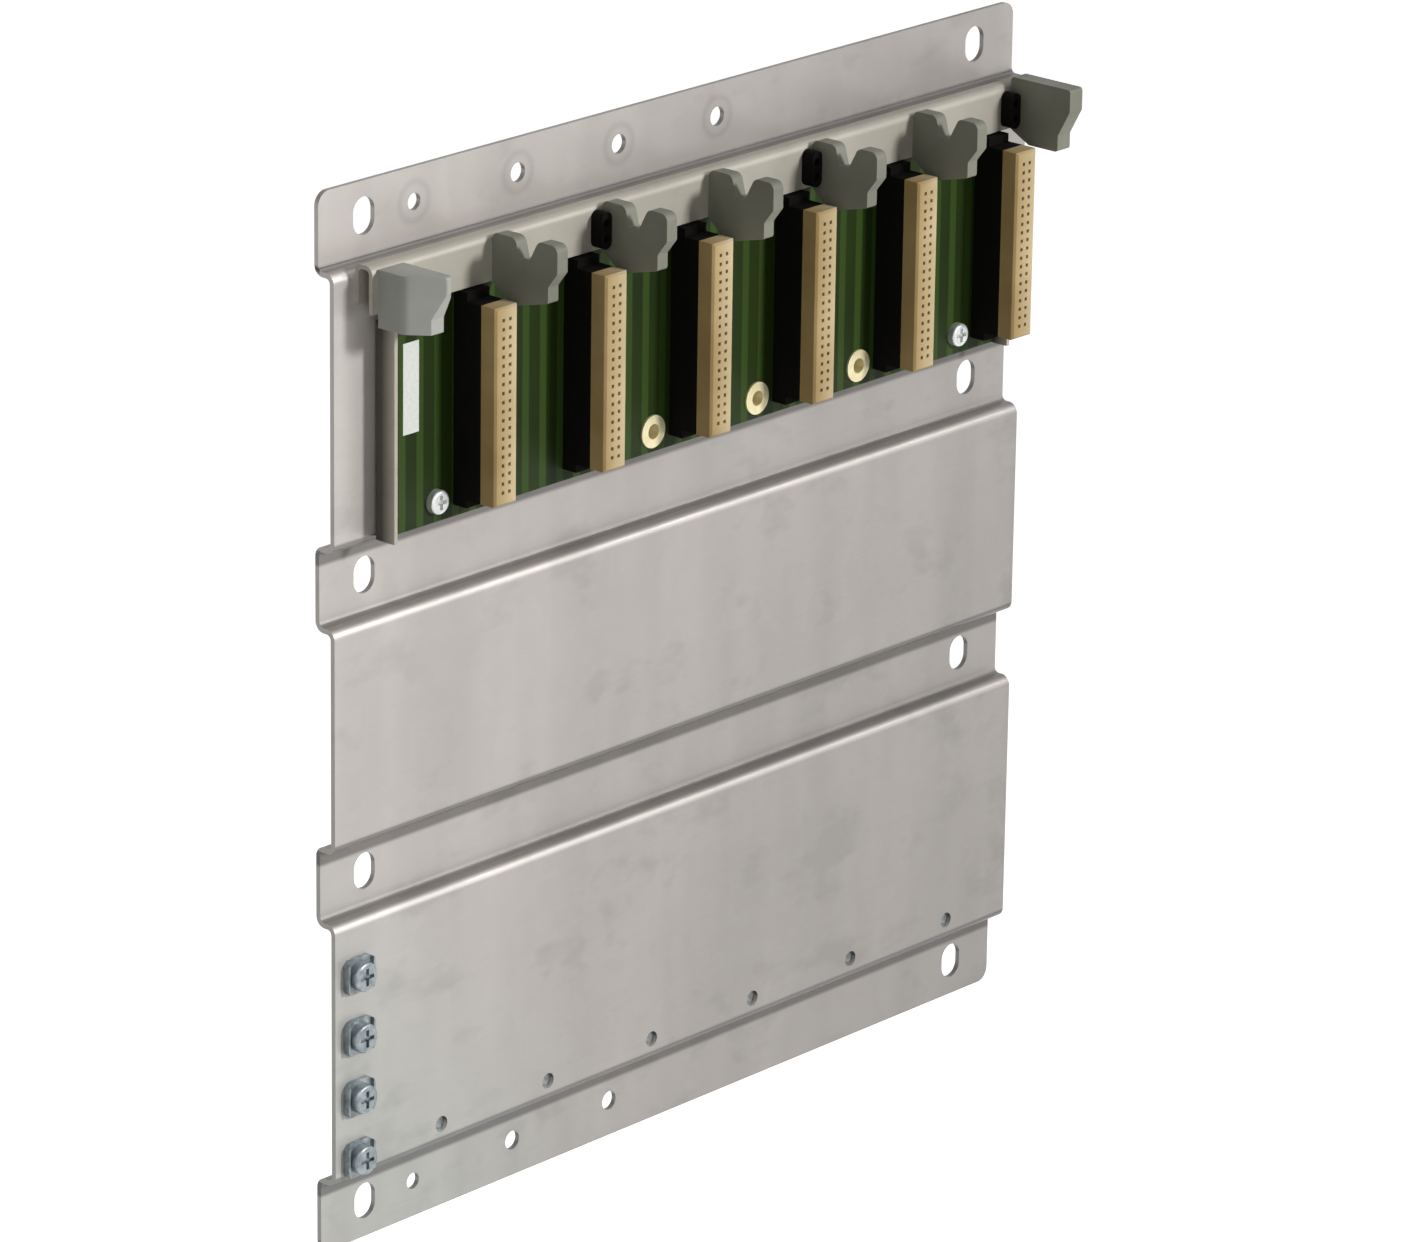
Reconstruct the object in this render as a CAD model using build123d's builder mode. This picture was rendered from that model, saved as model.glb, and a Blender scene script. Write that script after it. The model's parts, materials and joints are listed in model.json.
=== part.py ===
from build123d import *
import os

os.makedirs("parts", exist_ok=True)

# Frame: X across the rack from its middle, +Z up from its lower edge, Y = 0 on the wall.
# The front of the rack faces -Y.

fit_gap = 0.3                # between curved parts on different pieces
seat_gap = 0.4               # between a piece and the end of the piece beside it

# module places
pitch = 43.0                 # from one module place to the next
places = 6
end_margin = 12.5            # from an outer place to the side of the plate
first_place = -places * pitch / 2
left = first_place - end_margin
width = -2 * left

# heights on the upper band, from the tray to the rail; the band's own height follows from them
board_foot = 0.6             # board above the tray's lower edge
connector_rise = 5.8         # socket above the board's lower edge
connector_height = 55.6
ear_height = 2.4             # above and below the socket
rail_height = 13.2
rail_rise = 1.7              # rail above the fold of the upper band

# folded plate
height = 303.0               # over all four wall flanges
sheet = 1.5                  # sheet thickness
fold_depth = 5.7             # from a flange to the band beside it
bend_inner = 1.5             # inside radius of every fold
corner_radius = 4.0          # outer corners of the plate
flange_height = 21.3         # top, bottom and second flange
wide_flanges = 3
narrow_flange = 20.4         # third flange
lower_band = 76.7            # height of the lower band
connector_zone = connector_rise + connector_height + ear_height + seat_gap
upper_band = sheet + board_foot + connector_zone + rail_height - rail_rise
middle_band = height - wide_flanges * flange_height - narrow_flange - upper_band - lower_band

# levels of the folds, from the bottom up
flange_4_top = flange_height
band_3_top = flange_4_top + lower_band
flange_3_top = band_3_top + narrow_flange
band_2_top = flange_3_top + middle_band
flange_2_top = band_2_top + flange_height
band_1_top = flange_2_top + upper_band
band_face = -(sheet + fold_depth)
band_back = band_face + sheet

# wall slots and round holes
slot_width = 8.0
slot_length = 10.5
slot_inset = 17.0            # from the side of the plate
slot_x = width / 2 - slot_inset
top_row = 9.7                # slots and holes of the top flange, below the plate's upper edge
slot_levels = [
    flange_4_top / 2,
    (band_3_top + flange_3_top) / 2,
    (band_2_top + flange_2_top) / 2,
    height - top_row,
]
round_radius = 2.8           # small round holes
round_pitch = 40.0
round_inset = 36.0           # first hole, from the side of the plate
round_first = left + round_inset
small_radius = 2.4           # the first hole of each row is smaller
top_holes = 4
bottom_holes = 3

# module fixing holes along the lower band
screw_clearance = 0.3        # all round a screw in its hole
module_thread = 2.0          # radius
module_offset = 29.0         # from the left side of a module place
module_rise = 6.5            # above the bottom flange
module_level = flange_4_top + module_rise
nut_wall = 1.4               # round a nut's bore
nut_height = 2.6

# earth screws at the lower left
earth_count = 4
earth_pitch = 18.0
earth_inset = 8.2            # from the side of the plate
earth_rise = 6.9             # above the bottom flange
earth_x = left + earth_inset
earth_first = flange_4_top + earth_rise
earth_radius = 2.5
earth_head_radius = 4.2
earth_head_height = 3.0
lug_width = 0.7              # raised edge on each side of a washer
lug_height = 1.0
washer_size = 2 * (earth_head_radius + fit_gap + lug_width)
washer_corner = 2.4
washer_thickness = 1.2
screw_end = 0.3              # a screw's end stands proud of its nut
head_round = 0.8
cross_width = 1.1
cross_depth = 1.2
cross_share = 1.2            # length of the cross over the head's radius

# tray
tray_sheet = 1.2
tray_bend = 1.0
tray_inset = 14.4            # from the side of the plate
tray_left = left + tray_inset
tray_bottom = flange_2_top + sheet
tray_floor_front = band_face - tray_sheet
tray_wall_depth = 8.2
tray_front = band_face - tray_wall_depth

# guide rail: a channel that opens downwards, above and in front of the tray
rail_sheet = 1.2
rail_bend = 1.2
rail_inset = 8.0             # from the side of the plate
rail_left = left + rail_inset
rail_back_height = 11.2
rail_depth = 6.3
rail_top = band_1_top + rail_rise
rail_bottom = rail_top - rail_height
rail_back_bottom = rail_top - rail_back_height
rail_front = band_face - rail_depth
tray_top = rail_back_bottom - seat_gap

# board, whose upper edge is held behind the rail
spacer_height = 0.8
spacer_wall = 1.2
board_thickness = 1.6
board_hold = 3.8             # of the board's height is behind the rail
board_back = tray_floor_front - spacer_height
board_front = board_back - board_thickness
board_bottom = tray_bottom + board_foot
board_top = rail_bottom + board_hold
board_left = tray_left + tray_sheet + seat_gap

# label on the board
label_width = 6.0
label_height = 25.5
label_thickness = 0.2
label_offset = 9.7           # from the left side of the first place
label_rise = 27.2            # above the board's lower edge

# connectors
connector_width = 8.6
connector_offset = 33.4      # centre, from the left side of a module place
connector_depth = 15.6       # base and socket
socket_depth = 5.4
socket_edge = 0.6
socket_bottom = board_bottom + connector_rise
socket_middle = socket_bottom + connector_height / 2
socket_base = board_front - connector_depth + socket_depth
ear_depth = 5.0
contact_size = 1.0
contact_pitch = 2.54
contact_rows = 20
contact_depth = 3.0

# board fasteners
fastener_rise = 6.0          # above the board's lower edge
fastener_offset = 22.2       # from the left side of a module place
fastener_level = board_bottom + fastener_rise
screw_places = [0, places - 1]
eyelet_places = [2, 3, 4]
board_screw_radius = 1.9
board_head_radius = 3.4
board_head_height = 2.4
eyelet_bore = 2.2
eyelet_wall = 0.6
eyelet_flange = 1.9          # beyond the tube
eyelet_lip = 0.6
eyelet_radius = eyelet_bore + eyelet_wall

# guides: depths are forward of the rail, drops are below the guide's top
guide_thickness = 4.0
guide_rise = 1.1             # above the rail
guide_reach = 23.9
rear_prong = 8.5
notch_back = 10.1
notch_front = 13.3
front_prong = 16.9
nose_reach = 20.6
chin_reach = 7.1
rear_drop = 0.7
notch_drop = 6.7
shoulder_drop = 7.7
nose_drop = 11.9
nose_low = 16.5
chin_drop = 19.9
tip_round = 2.2
edge_round = 1.0
peg_radius = 1.7
peg_reach = 3.0
peg_drop = 5.4               # below the rail's top
guide_top = rail_top + guide_rise
peg_level = rail_top - peg_drop

# end guides
left_block_inset = 10.2      # from the side of the plate
left_block_flat = 9.0        # the outer face runs straight forward by this much
left_block_slope = 7.5       # then inwards by this much
left_block_round = 5.0
left_block_width = 9.5
left_block_reach = 18.0
left_block_nose = 14.8
left_block_height = 16.0
left_block_shoulder = 4.6    # below the block's top
left_block_turn = 11.8       # the sloping face ends here, below the block's top
left_block_drop = 1.0        # below the rail's top
left_block_left = left + left_block_inset
left_block_top = rail_top - left_block_drop
left_block_bottom = left_block_top - left_block_height
tray_wall_top = left_block_bottom - seat_gap
right_block_thickness = 5.5
right_block_reach = 21.9
right_block_nose = 17.8
right_block_rise = 1.0       # above the other guides
right_block_shoulder = 5.5
right_block_drop = 13.1
right_block_low = 18.0

# plugs beside every second guide
plug_width = 4.0
plug_length = 10.4
plug_height = 4.0
plug_drop = 7.0              # centre, below the rail's top
plug_recess = 1.1            # radius
plug_recess_depth = 1.5
plug_recess_pitch = 4.4

tiny = 0.01                  # a cut runs past a face by this much


def place(number, offset):
    """X of a feature at a distance from the left side of a module place."""
    return first_place + number * pitch + offset


def save(part, name):
    part.label = name
    export_step(part, f"parts/{name}.step")


def front_plane(y):
    """A sketch plane that faces the front, with local x along X and local y along Z."""
    return Plane.XZ.offset(-y)


def ring(points, level_y, length, outer, inner):
    """Rings that stand in front of the level, one at each point."""
    with BuildPart() as rings:
        with BuildSketch(front_plane(level_y)):
            with Locations(*points):
                Circle(outer)
                Circle(inner, mode=Mode.SUBTRACT)
        extrude(amount=length)
    return rings.part


def pan_screw(point, seat, radius, head_radius, head_height, reach):
    """A cross-recessed screw whose head stands in front of its seat."""
    with BuildPart() as screw:
        with BuildSketch(front_plane(seat)):
            with Locations(point):
                Circle(head_radius)
        extrude(amount=head_height)
        fillet(screw.edges().group_by(Axis.Y)[0], radius=head_round)
        with BuildSketch(front_plane(seat)):
            with Locations(point):
                Circle(radius)
        extrude(amount=-reach)
        with BuildSketch(front_plane(seat - head_height)):
            with Locations(point):
                Rectangle(head_radius * cross_share, cross_width)
                Rectangle(cross_width, head_radius * cross_share)
        extrude(amount=-cross_depth, mode=Mode.SUBTRACT)
    return screw.part


module_points = [(place(n, module_offset), module_level) for n in range(places)]
earth_points = [(earth_x, earth_first + n * earth_pitch) for n in range(earth_count)]
screw_points = [(place(n, fastener_offset), fastener_level) for n in screw_places]
eyelet_points = [(place(n, fastener_offset), fastener_level) for n in eyelet_places]

# The folded plate: a profile of flanges and bands, drawn from the side and drawn out over the width.
half = sheet / 2
mid_flange = -half
mid_band = band_face + half
fold_points = [(mid_flange, 0)]
for low, high in ((flange_4_top, band_3_top), (flange_3_top, band_2_top), (flange_2_top, band_1_top)):
    fold_points += [
        (mid_flange, low + half),
        (mid_band, low + half),
        (mid_band, high - half),
        (mid_flange, high - half),
    ]
fold_points.append((mid_flange, height))

with BuildPart() as mounting_plate:
    with BuildSketch(Plane.YZ.offset(left)):
        with BuildLine():
            FilletPolyline(*fold_points, radius=bend_inner + half)
        trace(line_width=sheet)
    extrude(amount=width)
    outer_corners = mounting_plate.edges().filter_by(Axis.Y).group_by(Axis.Z)
    fillet(outer_corners[0] + outer_corners[-1], radius=corner_radius)
    with BuildSketch(front_plane(0)):
        for level in slot_levels:
            with Locations((-slot_x, level), (slot_x, level)):
                SlotOverall(slot_length, slot_width, rotation=90)
        for level, count in ((slot_levels[-1], top_holes), (slot_levels[0], bottom_holes)):
            with Locations((round_first, level)):
                Circle(small_radius)
            with Locations(*[(round_first + n * round_pitch, level) for n in range(1, count)]):
                Circle(round_radius)
        with Locations(*module_points):
            Circle(module_thread + screw_clearance)
        with Locations(*earth_points):
            Circle(earth_radius + screw_clearance)
        with Locations(*screw_points):
            Circle(board_screw_radius + screw_clearance)
    extrude(amount=-band_face + tiny, mode=Mode.SUBTRACT)
save(mounting_plate.part, "mounting_plate")

# Press nuts on the backs of the bands.
nut_back = band_back + nut_height
for name, points, bore in (
    ("module_nuts", module_points, module_thread),
    ("earth_nuts", earth_points, earth_radius + screw_clearance),
    ("tray_nuts", screw_points, board_screw_radius + screw_clearance),
):
    save(ring(points, nut_back, nut_height, bore + nut_wall, bore), name)

# The tray: a floor on the top band with a low wall at each end.
tray_half = tray_sheet / 2
tray_points = [
    (tray_left + tray_half, tray_front),
    (tray_left + tray_half, tray_floor_front + tray_half),
    (-tray_left - tray_half, tray_floor_front + tray_half),
    (-tray_left - tray_half, tray_front),
]
with BuildPart() as bus_tray:
    with BuildSketch(Plane.XY.offset(tray_bottom)):
        with BuildLine():
            FilletPolyline(*tray_points, radius=tray_bend + tray_half)
        trace(line_width=tray_sheet)
    extrude(amount=tray_wall_top - tray_bottom)
    with BuildSketch(front_plane(band_face)):
        with Locations((0, (tray_wall_top + tray_top) / 2)):
            Rectangle(-2 * (tray_left + tray_sheet + tray_bend), tray_top - tray_wall_top)
    extrude(amount=tray_sheet)
    with BuildSketch(front_plane(band_face)):
        with Locations(*screw_points):
            Circle(board_screw_radius + screw_clearance)
        with Locations(*eyelet_points):
            Circle(eyelet_radius + fit_gap)
    extrude(amount=tray_sheet, mode=Mode.SUBTRACT)
save(bus_tray.part, "bus_tray")

# The guide rail, with a hole for the peg of every guide and plug.
guide_centres = [place(n, 0) for n in range(1, places)]
left_peg = left_block_left + left_block_width / 2
right_block_left = place(places, -guide_thickness / 2)
right_peg = right_block_left + right_block_thickness / 2
plug_centres = [
    place(n, -guide_thickness / 2 - fit_gap - plug_width / 2) for n in range(2, places + 1, 2)
]
rail_half = rail_sheet / 2
rail_points = [
    (rail_front + rail_half, rail_bottom),
    (rail_front + rail_half, rail_top - rail_half),
    (band_face - rail_half, rail_top - rail_half),
    (band_face - rail_half, rail_back_bottom),
]
with BuildPart() as guide_rail:
    with BuildSketch(Plane.YZ.offset(rail_left)):
        with BuildLine():
            FilletPolyline(*rail_points, radius=rail_bend + rail_half)
        trace(line_width=rail_sheet)
    extrude(amount=-2 * rail_left)
    with BuildSketch(front_plane(rail_front + rail_sheet)):
        with Locations(*[(x, peg_level) for x in [left_peg, *guide_centres, right_peg]]):
            Circle(peg_radius + fit_gap)
    extrude(amount=rail_sheet, mode=Mode.SUBTRACT)
save(guide_rail.part, "guide_rail")

# The board, its spacers and its label.
eyelet_hole = eyelet_radius + fit_gap
spacers = ring(
    screw_points + eyelet_points, tray_floor_front, spacer_height, eyelet_hole + spacer_wall, eyelet_hole
)
save(spacers, "board_spacers")
with BuildPart() as bus_board:
    with BuildSketch(front_plane(board_back)):
        with Locations((0, (board_bottom + board_top) / 2)):
            Rectangle(-2 * board_left, board_top - board_bottom)
        with Locations(*screw_points):
            Circle(board_screw_radius + screw_clearance, mode=Mode.SUBTRACT)
        with Locations(*eyelet_points):
            Circle(eyelet_hole, mode=Mode.SUBTRACT)
    extrude(amount=board_thickness)
save(bus_board.part, "bus_board")

label_middle = board_bottom + label_rise + label_height / 2
with BuildPart() as board_label:
    with BuildSketch(front_plane(board_front)):
        with Locations((place(0, label_offset) + label_width / 2, label_middle)):
            Rectangle(label_width, label_height)
    extrude(amount=label_thickness)
save(board_label.part, "board_label")


def connector_base(centre):
    """Dark body with a low ear above and below the socket."""
    with BuildPart() as base:
        with BuildSketch(front_plane(board_front)):
            with Locations((centre, socket_middle)):
                Rectangle(connector_width, connector_height)
        extrude(amount=connector_depth - socket_depth)
        with BuildSketch(front_plane(board_front)):
            with Locations((centre, socket_middle)):
                Rectangle(connector_width, connector_height + 2 * ear_height)
        extrude(amount=ear_depth)
    return base.part


def connector_socket(centre):
    """Front block of a connector, with bevelled front edges and two rows of contact holes."""
    with BuildPart() as socket:
        with BuildSketch(front_plane(socket_base)):
            with Locations((centre, socket_middle)):
                Rectangle(connector_width, connector_height)
        extrude(amount=socket_depth)
        chamfer(socket.edges().group_by(Axis.Y)[0], length=socket_edge)
        with BuildSketch(front_plane(socket_base - socket_depth)):
            with Locations((centre, socket_middle)):
                with GridLocations(contact_pitch, contact_pitch, 2, contact_rows):
                    Rectangle(contact_size, contact_size)
        extrude(amount=-contact_depth, mode=Mode.SUBTRACT)
    return socket.part


for number in range(places):
    middle = place(number, connector_offset)
    save(connector_base(middle), f"connector_base_{number + 1}")
    save(connector_socket(middle), f"connector_socket_{number + 1}")


def guide_plate(left, thickness, outline, rounds, peg_x):
    """A plate square to the rail, with rounded corners and a peg through the rail."""
    with BuildPart() as guide:
        with BuildSketch(Plane.YZ.offset(left)):
            with BuildLine():
                FilletPolyline(*outline, radius=rounds, close=True)
            make_face()
        extrude(amount=thickness)
        with BuildSketch(front_plane(rail_front + peg_reach)):
            with Locations((peg_x, peg_level)):
                Circle(peg_radius)
        extrude(amount=peg_reach)
    return guide.part


def from_rail(depth, drop):
    """A point of a guide's outline."""
    return (rail_front - depth, guide_top - drop)


fork_outline = [
    from_rail(0, rear_drop),
    from_rail(rear_prong, rear_drop),
    from_rail(notch_back, notch_drop),
    from_rail(notch_front, notch_drop),
    from_rail(front_prong, 0),
    from_rail(guide_reach, 0),
    from_rail(guide_reach, shoulder_drop),
    from_rail(nose_reach, nose_drop),
    from_rail(nose_reach, nose_low),
    from_rail(chin_reach, chin_drop),
    (rail_front, rail_bottom),
]
fork_rounds = [tip_round] * 2 + [edge_round] * 2 + [tip_round] * 2 + [edge_round] * 4 + [0]
for number, centre in enumerate(guide_centres, start=1):
    plate = guide_plate(centre - guide_thickness / 2, guide_thickness, fork_outline, fork_rounds, centre)
    save(plate, f"guide_{number}")

right_outline = [
    from_rail(0, -right_block_rise),
    from_rail(right_block_reach, -right_block_rise),
    from_rail(right_block_reach, right_block_shoulder),
    from_rail(right_block_nose, right_block_drop),
    from_rail(right_block_nose, right_block_low),
    from_rail(chin_reach, right_block_low),
    (rail_front, rail_bottom),
]
right_rounds = [edge_round] * 6 + [0]
save(
    guide_plate(right_block_left, right_block_thickness, right_outline, right_rounds, right_peg),
    "guide_end_right",
)

# The left end guide: a block whose outer face leads inwards to the front, cut back below its shoulder.
block_outline = [
    (left_block_left, rail_front),
    (left_block_left, rail_front - left_block_flat),
    (left_block_left + left_block_slope, rail_front - left_block_reach),
    (left_block_left + left_block_width, rail_front - left_block_reach),
    (left_block_left + left_block_width, rail_front),
]
block_rounds = [0, left_block_round, 0, 0, 0]
block_front = rail_front - left_block_reach - tiny
block_nose = rail_front - left_block_nose
step_outline = [
    (block_front, left_block_top - left_block_shoulder),
    (block_nose, left_block_top - left_block_turn),
    (block_nose, left_block_bottom - tiny),
    (block_front, left_block_bottom - tiny),
]
with BuildPart() as guide_end_left:
    with BuildSketch(Plane.XY.offset(left_block_bottom)):
        with BuildLine():
            FilletPolyline(*block_outline, radius=block_rounds, close=True)
        make_face()
    extrude(amount=left_block_height)
    with BuildSketch(Plane.YZ.offset(left_block_left)):
        with BuildLine():
            Polyline(*step_outline, close=True)
        make_face()
    extrude(amount=left_block_width, mode=Mode.SUBTRACT)
    fillet(guide_end_left.edges().group_by(Axis.Y)[0], radius=edge_round)
    with BuildSketch(front_plane(rail_front + peg_reach)):
        with Locations((left_peg, peg_level)):
            Circle(peg_radius)
    extrude(amount=peg_reach)
save(guide_end_left.part, "guide_end_left")


def guide_plug(centre):
    """An upright rounded plug with two round recesses."""
    plug_level = rail_top - plug_drop
    with BuildPart() as plug:
        with BuildSketch(front_plane(rail_front)):
            with Locations((centre, plug_level)):
                SlotOverall(plug_length, plug_width, rotation=90)
        extrude(amount=plug_height)
        with BuildSketch(front_plane(rail_front - plug_height)):
            with Locations((centre, plug_level)), GridLocations(0, plug_recess_pitch, 1, 2):
                Circle(plug_recess)
        extrude(amount=-plug_recess_depth, mode=Mode.SUBTRACT)
    return plug.part


for number, centre in enumerate(plug_centres, start=1):
    save(guide_plug(centre), f"guide_plug_{number}")

# Board screws and eyelets.
for name, point in zip(("board_screw_left", "board_screw_right"), screw_points):
    screw = pan_screw(
        point, board_front, board_screw_radius, board_head_radius, board_head_height,
        nut_back + screw_end - board_front,
    )
    save(screw, name)

for number, point in enumerate(eyelet_points, start=1):
    with BuildPart() as eyelet:
        with BuildSketch(front_plane(board_front)):
            with Locations(point):
                Circle(eyelet_radius + eyelet_flange)
        extrude(amount=eyelet_lip)
        with BuildSketch(front_plane(band_face)):
            with Locations(point):
                Circle(eyelet_radius)
        extrude(amount=band_face - board_front)
        with BuildSketch(front_plane(band_face)):
            with Locations(point):
                Circle(eyelet_bore)
        extrude(amount=band_face - board_front + eyelet_lip, mode=Mode.SUBTRACT)
    save(eyelet.part, f"board_eyelet_{number}")

# Earth screws, each on a square washer with two raised edges.
washer_front = band_face - washer_thickness
for number, point in enumerate(earth_points, start=1):
    with BuildPart() as washer:
        with BuildSketch(front_plane(band_face)):
            with Locations(point):
                RectangleRounded(washer_size, washer_size, washer_corner)
        extrude(amount=washer_thickness + lug_height)
        with BuildSketch(front_plane(washer_front)):
            with Locations(point):
                Rectangle(washer_size - 2 * lug_width, washer_size)
        extrude(amount=lug_height, mode=Mode.SUBTRACT)
        with BuildSketch(front_plane(band_face)):
            with Locations(point):
                Circle(earth_radius + screw_clearance)
        extrude(amount=washer_thickness, mode=Mode.SUBTRACT)
    save(washer.part, f"earth_washer_{number}")
    screw = pan_screw(
        point, washer_front, earth_radius, earth_head_radius, earth_head_height,
        nut_back + screw_end - washer_front,
    )
    save(screw, f"earth_screw_{number}")
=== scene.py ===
import json
import math

import bpy
from mathutils import Matrix, Vector

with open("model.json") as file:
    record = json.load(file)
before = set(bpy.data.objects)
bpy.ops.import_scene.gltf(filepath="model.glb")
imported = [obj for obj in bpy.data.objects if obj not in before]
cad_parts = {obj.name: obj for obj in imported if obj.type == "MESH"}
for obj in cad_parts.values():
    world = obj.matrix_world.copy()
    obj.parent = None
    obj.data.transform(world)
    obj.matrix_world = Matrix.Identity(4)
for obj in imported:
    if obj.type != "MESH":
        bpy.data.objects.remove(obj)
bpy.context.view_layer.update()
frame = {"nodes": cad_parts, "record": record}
nodes = frame["nodes"]

# Lengths are metres in the part's own frame: X runs to the right from the middle of the plate, Y is 0 on the
# wall with the front at -Y, and Z runs up from the lower edge.


def rgb(r, g, b):
    """A colour written as it looks on screen, from 0 to 255."""
    def linear(v):
        v /= 255.0
        return v / 12.92 if v <= 0.04045 else ((v + 0.055) / 1.055) ** 2.4
    return (linear(r), linear(g), linear(b), 1.0)


# Colours
WARM = rgb(255, 253, 251)
COOL = rgb(248, 253, 251)
SHEET_LIGHT = rgb(213, 208, 204)
SHEET_DARK = rgb(190, 186, 182)
TRAY_LIGHT = rgb(160, 155, 144)
TRAY_DARK = rgb(144, 139, 128)
RAIL_LIGHT = rgb(174, 171, 160)
RAIL_DARK = rgb(160, 157, 147)
BOARD_LIGHT = rgb(32, 47, 10)
BOARD_DARK = rgb(22, 35, 4)
BOARD_TRACK = rgb(50, 71, 25)
# The browner tan is painted shade on the connectors' tan plastic.
FACE_PAINTED_SHADE_LIGHT = rgb(168, 142, 96)
FACE_PAINTED_SHADE_DARK = rgb(148, 122, 78)
FACE_PALE_LIGHT = rgb(202, 185, 150)
FACE_PALE_DARK = rgb(180, 162, 124)
LABEL_LIGHT = rgb(216, 219, 213)
LABEL_DARK = rgb(200, 204, 197)
FLOOR_LIGHT = rgb(236, 236, 236)
FLOOR_DARK = rgb(230, 230, 230)

# Noise mostly lies between these two values.
NOISE_LOW = 0.3
NOISE_HIGH = 0.7

# Sheet patterns: noise scales along X, Y and Z, and the noise values between which a pattern sets in
GRAIN_SCALE = (60, 60, 2600)
SMUDGE_SCALE = (38, 38, 60)
SMUDGE_SHIFT = (3.1, 0, 1.7)
SMUDGE_RANGE = (0.56, 0.72)
STREAK_SCALE = (55, 55, 7)
STREAK_RANGE = (0.35, 0.65)
TINT_RANGE = (0.02, -0.06)
TINT_WANDER = 0.06

# Share of each pattern in the mix from the sheet's light colour to its dark one
CLOUD_SHARE = 0.4
SPANGLE_SHARE = 0.12
SMUDGE_SHARE = 0.6
STREAK_SHARE = 0.38
GRAIN_SHARE = 0.12
SHEET_BUMP = 0.000006
FINE_BUMP = 0.00002
MOULDED_BUMP = 0.00004

# Painted light falloff on the plate: its tone at the upper right corner, its gain to the left and its loss
# downwards
PLAIN_TONE = 0.63
LEFT_GAIN = 0.16
RIGHT_GAIN = 0.08
LOW_LOSS = 0.15
GAIN_LEFT = -0.135
GAIN_MIDDLE = -0.01
GAIN_RIGHT = 0.13
LOSS_TOP = 0.3
FALLOFF_WANDER = 0.012

# Painted shade along the folds, with painted highlights on the upper outer bends
FLANGE_TOPS = (0.0213, 0.1184, 0.204)
TOP_FOLD = 0.2817
FLANGE_FRONT = -0.0018
LEDGE_FRONT = -0.0064
LEDGE_BACK = -0.0048
LEDGE_SHARE = 0.85
FOLD_PAINTED_SHADE = 0.62
PAINTED_HIGHLIGHT_GAIN = 0.35
SHADE_DEPTH = 0.0049
SHADE_CORE = 0.0038
CORNER_HEIGHT = 0.0015
CORNER_CORE = 0.0007
CORNER_PAINTED_SHADE = 0.9
CORNER_START = 0.001
WALL_BLEND = 0.0006
PAINTED_HIGHLIGHT_DEPTH = 0.0008
# Upward part of the surface's direction, where each starts and where it is full
LEDGE_TILT = (0.15, 0.6)
UNDERSIDE_TILT = (0.0, -0.2)
PAINTED_HIGHLIGHT_TILT = (0.15, 0.4)

# Faint dark rings round the top flange's round holes: painted shade on the rims of the dimples that the
# punch left
RING_FIRST = -0.1055
RING_PITCH = 0.04
RING_COUNT = 4
RING_LEVEL = 0.2933
RING_RADIUS = 0.0055
RING_HALF = 0.0016
RING_TONE = 0.86

# The tray's walls from their front edge to their foot, with a painted highlight on the edge and painted
# shade at the foot
TRAY_FRONT = -0.0154
TRAY_ROOT = -0.0106
TRAY_EDGE_PAINTED_LIGHT = 1.25
TRAY_ROOT_PAINTED_SHADE = 0.14

# The connectors' tan blocks
PLACE_PITCH = 0.043
FACE_START = -0.1003
FACE_WIDTH = 0.0086


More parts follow.
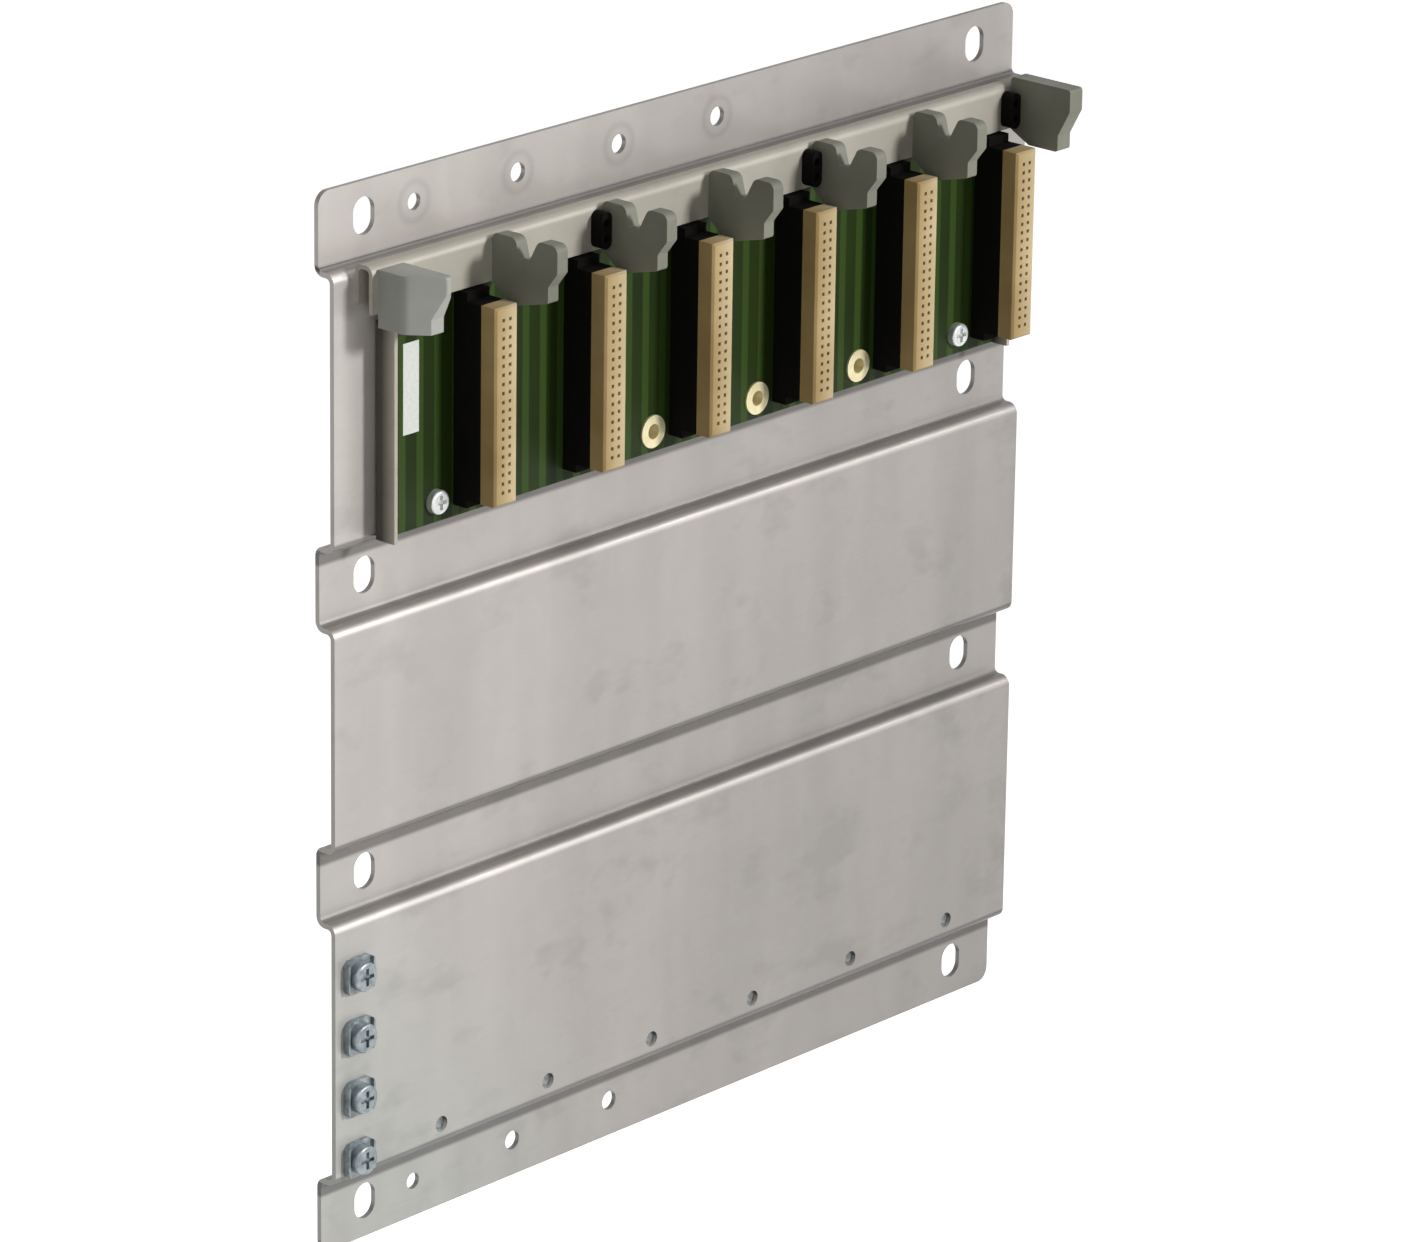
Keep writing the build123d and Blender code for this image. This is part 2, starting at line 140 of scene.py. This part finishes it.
class Builder:
    """A small helper that adds and links shader nodes in one material."""

    def __init__(self, name):
        self.material = bpy.data.materials.new(name)
        self.material.use_nodes = True
        self.tree = self.material.node_tree
        self.tree.nodes.clear()
        self.out = self.add("ShaderNodeOutputMaterial")
        self.shader = self.add("ShaderNodeBsdfPrincipled")
        self.link(self.shader.outputs[0], self.out.inputs["Surface"])
        self.coords = self.add("ShaderNodeTexCoord").outputs["Object"]

    def add(self, kind, **props):
        node = self.tree.nodes.new(kind)
        for key, value in props.items():
            setattr(node, key, value)
        return node

    def link(self, source, target):
        self.tree.links.new(source, target)

    def feed(self, value, socket):
        """Sets a socket to a number or colour, or links it to another node's output."""
        if isinstance(value, (int, float, tuple)):
            socket.default_value = value
        else:
            self.link(value, socket)

    def mapped(self, scale, location=(0, 0, 0)):
        node = self.add("ShaderNodeMapping")
        node.inputs["Scale"].default_value = scale
        node.inputs["Location"].default_value = location
        self.link(self.coords, node.inputs["Vector"])
        return node.outputs[0]

    def noise(self, scale, detail=3.0, rough=0.55, vector=None):
        node = self.add("ShaderNodeTexNoise")
        node.inputs["Scale"].default_value = scale
        node.inputs["Detail"].default_value = detail
        node.inputs["Roughness"].default_value = rough
        self.link(vector or self.coords, node.inputs["Vector"])
        return node.outputs["Fac"]

    def cells(self, scale):
        """A random number for each cell of a Voronoi pattern."""
        node = self.add("ShaderNodeTexVoronoi")
        node.inputs["Scale"].default_value = scale
        self.link(self.coords, node.inputs["Vector"])
        parts = self.add("ShaderNodeSeparateColor")
        self.link(node.outputs["Color"], parts.inputs[0])
        return parts.outputs[0]

    def bands(self, axis, scale):
        node = self.add("ShaderNodeTexWave", wave_type="BANDS", bands_direction=axis, wave_profile="SIN")
        node.inputs["Scale"].default_value = scale
        node.inputs["Distortion"].default_value = 0.15
        self.link(self.coords, node.inputs["Vector"])
        return node.outputs["Fac"]

    def remap(self, value, low, high, to_low=0.0, to_high=1.0):
        node = self.add("ShaderNodeMapRange")
        node.inputs["From Min"].default_value = low
        node.inputs["From Max"].default_value = high
        node.inputs["To Min"].default_value = to_low
        node.inputs["To Max"].default_value = to_high
        self.link(value, node.inputs["Value"])
        return node.outputs[0]

    def spread(self, noise, to_low=0.0, to_high=1.0):
        return self.remap(noise, NOISE_LOW, NOISE_HIGH, to_low, to_high)

    def math(self, operation, first, *others):
        """Chains one operation over two or more values, or applies it to a single one."""
        values = list(others) or [None]
        for value in values:
            node = self.add("ShaderNodeMath", operation=operation)
            self.feed(first, node.inputs[0])
            if value is not None:
                self.feed(value, node.inputs[1])
            first = node.outputs[0]
        return first

    def mix(self, factor, first, second, blend="MIX"):
        node = self.add("ShaderNodeMix", data_type="RGBA", blend_type=blend)
        for value, socket in zip((factor, first, second), (node.inputs[0], node.inputs[6], node.inputs[7])):
            self.feed(value, socket)
        return node.outputs[2]

    def scaled(self, colour, factor):
        node = self.add("ShaderNodeVectorMath", operation="SCALE")
        self.link(colour, node.inputs[0])
        self.link(factor, node.inputs["Scale"])
        return node.outputs[0]

    def bump(self, height, distance, strength, normal=None):
        node = self.add("ShaderNodeBump")
        node.inputs["Strength"].default_value = strength
        node.inputs["Distance"].default_value = distance
        self.link(height, node.inputs["Height"])
        if normal is not None:
            self.link(normal, node.inputs["Normal"])
        return node.outputs[0]

    def part_of(self, vector, axis):
        node = self.add("ShaderNodeSeparateXYZ")
        self.link(vector, node.inputs[0])
        return node.outputs[axis]

    def axis(self, name):
        return self.part_of(self.coords, name)

    def finish(self, colour, roughness, normal=None, **constants):
        for name, value in constants.items():
            self.shader.inputs[name.replace("_", " ")].default_value = value
        self.link(colour, self.shader.inputs["Base Color"])
        self.feed(roughness, self.shader.inputs["Roughness"])
        if normal is not None:
            self.link(normal, self.shader.inputs["Normal"])
        return self.material


def painted_light_falloff(b, clouds):
    """Painted light: the plate's colour grows paler towards its upper left corner and darker downwards."""
    wander = b.spread(clouds, -FALLOFF_WANDER, FALLOFF_WANDER)
    across = b.math("ADD", b.axis("X"), wander)
    up = b.math("ADD", b.axis("Z"), wander)
    left = b.remap(across, GAIN_LEFT, GAIN_MIDDLE, LEFT_GAIN, 0.0)
    right = b.remap(across, GAIN_MIDDLE, GAIN_RIGHT, RIGHT_GAIN, 0.0)
    low = b.remap(up, 0.0, LOSS_TOP, -LOW_LOSS, 0.0)
    return b.math("ADD", left, right, PLAIN_TONE, low)


def painted_fold_shade(b):
    """Painted shade on upward ledges, on undersides, in strips below the overhangs and in the corner above
    the rail, and painted highlights on the upper outer bends.
    """
    height = b.axis("Z")
    depth = b.axis("Y")
    upright = b.part_of(b.add("ShaderNodeNewGeometry").outputs["True Normal"], "Z")
    # Upward ledges and undersides get painted shade.
    ledge = b.math("MULTIPLY", b.remap(upright, *LEDGE_TILT), b.remap(depth, LEDGE_FRONT, LEDGE_BACK))
    underside = b.remap(upright, *UNDERSIDE_TILT)
    painted_shade = b.math("MAXIMUM", b.math("MULTIPLY", ledge, LEDGE_SHARE), underside)
    wall_side = b.remap(depth, FLANGE_FRONT - WALL_BLEND, FLANGE_FRONT)
    # A painted shadow in a strip below each overhang.
    for level in FLANGE_TOPS:
        near = b.remap(height, level - SHADE_DEPTH, level - SHADE_CORE)
        below = b.math("LESS_THAN", height, level)
        painted_shade = b.math("MAXIMUM", painted_shade, b.math("MULTIPLY", near, below, wall_side))
    painted_shade = b.math("MULTIPLY", painted_shade, FOLD_PAINTED_SHADE)
    # The corner above the guide rail gets the darkest painted shade.
    rising = b.remap(height, TOP_FOLD - CORNER_START, TOP_FOLD)
    falling = b.remap(height, TOP_FOLD + CORNER_HEIGHT, TOP_FOLD + CORNER_CORE)
    corner = b.math("MULTIPLY", rising, falling, wall_side, CORNER_PAINTED_SHADE)
    unshaded = b.math("SUBTRACT", 1.0, b.math("MAXIMUM", painted_shade, corner))
    # A painted highlight along the upper outer bends.
    outer = b.remap(depth, LEDGE_FRONT + PAINTED_HIGHLIGHT_DEPTH, LEDGE_FRONT)
    painted_highlight = b.math("MULTIPLY", b.remap(upright, *PAINTED_HIGHLIGHT_TILT), outer, PAINTED_HIGHLIGHT_GAIN)
    return b.math("MULTIPLY", unshaded, b.math("ADD", 1.0, painted_highlight))


def painted_ring_shade(b, count):
    """A faint dark ring round one of the round holes of the top flange, painted shade on the rim of the
    punch's dimple.
    """
    offset = b.add("ShaderNodeVectorMath", operation="SUBTRACT")
    b.link(b.coords, offset.inputs[0])
    offset.inputs[1].default_value = (RING_FIRST + count * RING_PITCH, 0, RING_LEVEL)
    flat = b.add("ShaderNodeVectorMath", operation="MULTIPLY")
    b.link(offset.outputs[0], flat.inputs[0])
    flat.inputs[1].default_value = (1, 0, 1)
    length = b.add("ShaderNodeVectorMath", operation="LENGTH")
    b.link(flat.outputs[0], length.inputs[0])
    away = b.math("ABSOLUTE", b.math("SUBTRACT", length.outputs["Value"], RING_RADIUS))
    return b.remap(away, RING_HALF, 0.0, 1.0, RING_TONE)


def plate_tone(b, clouds):
    rings = [painted_ring_shade(b, count) for count in range(RING_COUNT)]
    # The plate's colour carries painted light falloff, painted fold shade and highlights, and painted ring
    # shade.
    return b.math("MULTIPLY", painted_light_falloff(b, clouds), painted_fold_shade(b), *rings)


def painted_tray_shade(b, clouds):
    """Painted shade makes the foot of the tray's walls dark, and a painted highlight makes their front edge
    pale.
    """
    return b.remap(b.axis("Y"), TRAY_FRONT, TRAY_ROOT, TRAY_EDGE_PAINTED_LIGHT, TRAY_ROOT_PAINTED_SHADE)


def coated_sheet(name, light, dark, cool, spangle, metallic, roughness, tone=None):
    """Zinc coated sheet: clouded colour, faint spangle, smudges, streaks and rolling grain."""
    b = Builder(name)
    clouds = b.noise(9.0, 4.0, 0.5)
    grain = b.noise(1.0, 2.0, 0.6, b.mapped(GRAIN_SCALE))
    smudges = b.noise(1.0, 3.0, 0.6, b.mapped(SMUDGE_SCALE, SMUDGE_SHIFT))
    smudge = b.remap(smudges, *SMUDGE_RANGE)
    streaks = b.noise(1.0, 2.0, 0.5, b.mapped(STREAK_SCALE))
    darkness = b.math(
        "ADD",
        b.spread(clouds, 0.0, CLOUD_SHARE),
        b.math("MULTIPLY", b.cells(spangle), SPANGLE_SHARE),
        b.math("MULTIPLY", smudge, SMUDGE_SHARE),
        b.remap(streaks, *STREAK_RANGE, 0.0, STREAK_SHARE),
        b.spread(grain, 0.0, GRAIN_SHARE),
    )
    corner = b.math("ADD", b.axis("X"), b.axis("Z"), b.math("MULTIPLY", clouds, TINT_WANDER))
    tint = b.mix(b.remap(corner, *TINT_RANGE), WARM, cool)
    colour = b.mix(1.0, b.mix(darkness, light, dark), tint, "MULTIPLY")
    if tone is not None:
        colour = b.scaled(colour, tone(b, clouds))
    rough = b.math(
        "ADD",
        b.spread(clouds, *roughness),
        b.spread(grain, -0.03, 0.03),
        b.math("MULTIPLY", smudge, 0.04),
    )
    normal = b.bump(b.noise(2600.0, 2.0, 0.6), SHEET_BUMP, 0.5)
    normal = b.bump(grain, SHEET_BUMP, 0.4, normal)
    return b.finish(colour, rough, normal, Metallic=metallic)


def moulded(name, light, dark, rough_low, rough_high, specular):
    """Moulded plastic with a fine matt grain and slight flow clouds."""
    b = Builder(name)
    clouds = b.noise(45.0)
    fine = b.noise(2200.0, 2.0, 0.6)
    scuffs = b.noise(1.0, 2.0, 0.7, b.mapped((500, 500, 1700)))
    tone = b.math("ADD", b.spread(clouds, 0.0, 0.75), b.remap(scuffs, 0.55, 0.8, 0.0, 0.25))
    rough = b.math("ADD", b.spread(clouds, rough_low, rough_high), b.spread(fine, -0.04, 0.04))
    normal = b.bump(fine, MOULDED_BUMP, 0.7)
    return b.finish(b.mix(tone, light, dark), rough, normal, Specular_IOR_Level=specular)


def contact_face(name):
    """Tan contact blocks with painted shade: browner at the left side of each block, palest at its right
    edge.
    """
    b = Builder(name)
    clouds = b.noise(45.0)
    cloud = b.spread(clouds)
    shaded_tan = b.mix(cloud, FACE_PAINTED_SHADE_LIGHT, FACE_PAINTED_SHADE_DARK)
    pale = b.mix(cloud, FACE_PALE_LIGHT, FACE_PALE_DARK)
    from_side = b.math("MODULO", b.math("SUBTRACT", b.axis("X"), FACE_START), PLACE_PITCH)
    colour = b.mix(b.remap(from_side, 0.0, FACE_WIDTH), shaded_tan, pale)
    normal = b.bump(b.noise(2200.0, 2.0, 0.6), MOULDED_BUMP, 0.7)
    return b.finish(colour, b.spread(clouds, 0.55, 0.66), normal, Specular_IOR_Level=0.2)


def zinc(name, light, dark, metallic, rough):
    """Plated hardware: mottled, with a fine pitted surface."""
    b = Builder(name)
    mottle = b.noise(420.0)
    normal = b.bump(b.noise(5200.0, 2.0), FINE_BUMP, 0.5)
    roughness = b.spread(mottle, rough - 0.06, rough + 0.08)
    return b.finish(b.mix(b.spread(mottle), light, dark), roughness, normal, Metallic=metallic)


def solder_mask(name):
    """Green solder mask over laminate: a faint weave and raised upright tracks."""
    b = Builder(name)
    clouds = b.noise(30.0)
    weave = b.math("MULTIPLY", b.bands("X", 320.0), b.bands("Z", 320.0))
    track = b.remap(b.bands("X", 46.0), 0.62, 0.74)
    laminate = b.mix(b.spread(clouds), BOARD_LIGHT, BOARD_DARK)
    colour = b.mix(b.math("MULTIPLY", track, 0.8), laminate, BOARD_TRACK)
    normal = b.bump(weave, FINE_BUMP, 0.5)
    normal = b.bump(track, MOULDED_BUMP, 0.6, normal)
    return b.finish(colour, b.spread(clouds, 0.42, 0.55), normal, Specular_IOR_Level=0.15)


def paper(name):
    """Pale film with fine fibres."""
    b = Builder(name)
    fibres = b.noise(900.0, 4.0, 0.7)
    colour = b.mix(b.spread(fibres), LABEL_LIGHT, LABEL_DARK)
    return b.finish(colour, b.spread(fibres, 0.5, 0.65), b.bump(fibres, FINE_BUMP, 0.5))


materials = {
    "plated_sheet": coated_sheet(
        "plated_sheet", SHEET_LIGHT, SHEET_DARK, COOL, 170.0, 0.25, (0.3, 0.38), plate_tone),
    "tray_sheet": coated_sheet(
        "tray_sheet", TRAY_LIGHT, TRAY_DARK, WARM, 240.0, 0.15, (0.42, 0.5), painted_tray_shade),
    "rail_sheet": coated_sheet("rail_sheet", RAIL_LIGHT, RAIL_DARK, WARM, 240.0, 0.15, (0.42, 0.5)),
    "zinc_nut": zinc("zinc_nut", rgb(168, 172, 172), rgb(132, 137, 138), 0.7, 0.45),
    "zinc_screw": zinc("zinc_screw", rgb(158, 166, 168), rgb(112, 121, 126), 0.65, 0.36),
    "circuit_board": solder_mask("circuit_board"),
    "label_film": paper("label_film"),
    "dark_plastic": moulded("dark_plastic", rgb(13, 12, 10), rgb(8, 7, 6), 0.7, 0.8, 0.06),
    "connector_face": contact_face("connector_face"),
    "guide_plastic": moulded("guide_plastic", rgb(127, 127, 114), rgb(104, 105, 93), 0.5, 0.6, 0.3),
    # A paler copy of the guide plastic, painted light for the left end guide.
    "guide_plastic_painted_light": moulded("guide_plastic_painted_light", rgb(166, 166, 160), rgb(150, 150, 143), 0.5, 0.6, 0.3),
    "bright_screw": zinc("bright_screw", rgb(228, 230, 228), rgb(196, 199, 198), 0.6, 0.36),
    "gold_plate": zinc("gold_plate", rgb(240, 230, 190), rgb(218, 206, 160), 0.4, 0.4),
}

# Each node has its slot's material, but for the left end guide, which gets a paler copy of the guide plastic
# as painted light on its lit side, and the brighter board screws.
finishes = {row["node"]: row["material_slot"] for row in frame["record"]["subparts"]}
finishes["guide_end_left"] = "guide_plastic_painted_light"
for name in nodes:
    if name.startswith("board_screw"):
        finishes[name] = "bright_screw"
for name, obj in nodes.items():
    if not obj.material_slots:
        obj.data.materials.append(None)
    for slot in obj.material_slots:
        slot.material = materials[finishes[name]]

# Camera, fitted to edges and corners of the photo
CAMERA_PLACE = Vector((-1.50225, -1.36219, 0.85561))
CAMERA_AZIMUTH = -0.838445
CAMERA_ELEVATION = 0.335373
CAMERA_ROLL = -0.01448
CAMERA_LENS = 195.67
CAMERA_SENSOR = 36.0
CLIP_START = 0.05
CLIP_END = 100.0

forward = Vector((
    -math.sin(CAMERA_AZIMUTH) * math.cos(CAMERA_ELEVATION),
    math.cos(CAMERA_AZIMUTH) * math.cos(CAMERA_ELEVATION),
    -math.sin(CAMERA_ELEVATION),
))
level_right = Vector((math.cos(CAMERA_AZIMUTH), math.sin(CAMERA_AZIMUTH), 0))
level_down = forward.cross(level_right)
right = math.cos(CAMERA_ROLL) * level_right + math.sin(CAMERA_ROLL) * level_down
down = -math.sin(CAMERA_ROLL) * level_right + math.cos(CAMERA_ROLL) * level_down
camera_data = bpy.data.cameras.new("camera")
camera_data.sensor_fit = "HORIZONTAL"
camera_data.sensor_width = CAMERA_SENSOR
camera_data.lens = CAMERA_LENS
camera_data.clip_start = CLIP_START
camera_data.clip_end = CLIP_END
camera = bpy.data.objects.new("camera", camera_data)
bpy.context.scene.collection.objects.link(camera)
camera.matrix_world = Matrix((
    (right.x, -down.x, -forward.x, CAMERA_PLACE.x),
    (right.y, -down.y, -forward.y, CAMERA_PLACE.y),
    (right.z, -down.z, -forward.z, CAMERA_PLACE.z),
    (0, 0, 0, 1),
))
bpy.context.scene.camera = camera

# Square soft boxes: azimuth in degrees, 0 straight in front and positive to the right, elevation in degrees,
# distance and side in metres, power in watts
LAMPS = {
    "key": (20.0, 22.0, 2.4, 0.3, 49.0),
    "left": (-50.0, 20.0, 0.65, 0.5, 0.85),
    "top": (52.0, 30.0, 2.6, 0.5, 6.0),
    "back": (180.0, 20.0, 2.4, 0.8, 24.0),
}
LAMP_TARGET = Vector((0, 0, 0.16))


def soft_box(name, azimuth, elevation, distance, size, power):
    """A square lamp that faces the rack."""
    a = math.radians(azimuth)
    e = math.radians(elevation)
    away = Vector((math.sin(a) * math.cos(e), -math.cos(a) * math.cos(e), math.sin(e)))
    data = bpy.data.lights.new(name, "AREA")
    data.shape = "SQUARE"
    data.size = size
    data.energy = power
    light = bpy.data.objects.new(name, data)
    bpy.context.scene.collection.objects.link(light)
    light.location = LAMP_TARGET + away * distance
    light.rotation_euler = away.to_track_quat("Z", "Y").to_euler()


for name, values in LAMPS.items():
    soft_box(name, *values)

# The floor lies well below the rack, which hangs on a wall that isn't shown.
FLOOR_LEVEL = -0.9
FLOOR_HALF = 30.0
FLOOR_GLOW = 0.9
floor_mesh = bpy.data.meshes.new("floor")
corners = [(x * FLOOR_HALF, y * FLOOR_HALF, FLOOR_LEVEL) for x, y in ((-1, -1), (1, -1), (1, 1), (-1, 1))]
floor_mesh.from_pydata(corners, [], [(0, 1, 2, 3)])
floor = bpy.data.objects.new("floor", floor_mesh)
bpy.context.scene.collection.objects.link(floor)


def floor_material():
    """Pale and matt, and near white to the camera and in reflections."""
    b = Builder("floor")
    b.finish(b.mix(b.spread(b.noise(3.0)), FLOOR_LIGHT, FLOOR_DARK), 0.8)
    rays = b.add("ShaderNodeLightPath").outputs
    seen = b.math("MAXIMUM", rays["Is Camera Ray"], rays["Is Glossy Ray"], rays["Is Transmission Ray"])
    glow = b.add("ShaderNodeEmission")
    b.link(b.math("MULTIPLY", seen, FLOOR_GLOW), glow.inputs["Strength"])
    blend = b.add("ShaderNodeAddShader")
    b.link(b.shader.outputs[0], blend.inputs[0])
    b.link(glow.outputs[0], blend.inputs[1])
    b.link(blend.outputs[0], b.out.inputs["Surface"])
    return b.material


floor_mesh.materials.append(floor_material())

# The world gives a weak even light, and is white to the camera and in reflections.
AMBIENT = 0.104
WHITE = (1.0, 1.0, 1.0, 1.0)
world = bpy.data.worlds.new("world")
bpy.context.scene.world = world
world.use_nodes = True
tree = world.node_tree
tree.nodes.clear()
world_out = tree.nodes.new("ShaderNodeOutputWorld")
background = tree.nodes.new("ShaderNodeBackground")
background.inputs["Color"].default_value = WHITE
rays = tree.nodes.new("ShaderNodeLightPath").outputs
seen = tree.nodes.new("ShaderNodeMath")
seen.operation = "MAXIMUM"
seen_all = tree.nodes.new("ShaderNodeMath")
seen_all.operation = "MAXIMUM"
strength = tree.nodes.new("ShaderNodeMapRange")
strength.inputs["To Min"].default_value = AMBIENT
tree.links.new(rays["Is Camera Ray"], seen.inputs[0])
tree.links.new(rays["Is Glossy Ray"], seen.inputs[1])
tree.links.new(seen.outputs[0], seen_all.inputs[0])
tree.links.new(rays["Is Transmission Ray"], seen_all.inputs[1])
tree.links.new(seen_all.outputs[0], strength.inputs["Value"])
tree.links.new(strength.outputs[0], background.inputs["Strength"])
tree.links.new(background.outputs[0], world_out.inputs["Surface"])

bpy.context.scene.view_settings.view_transform = "Standard"
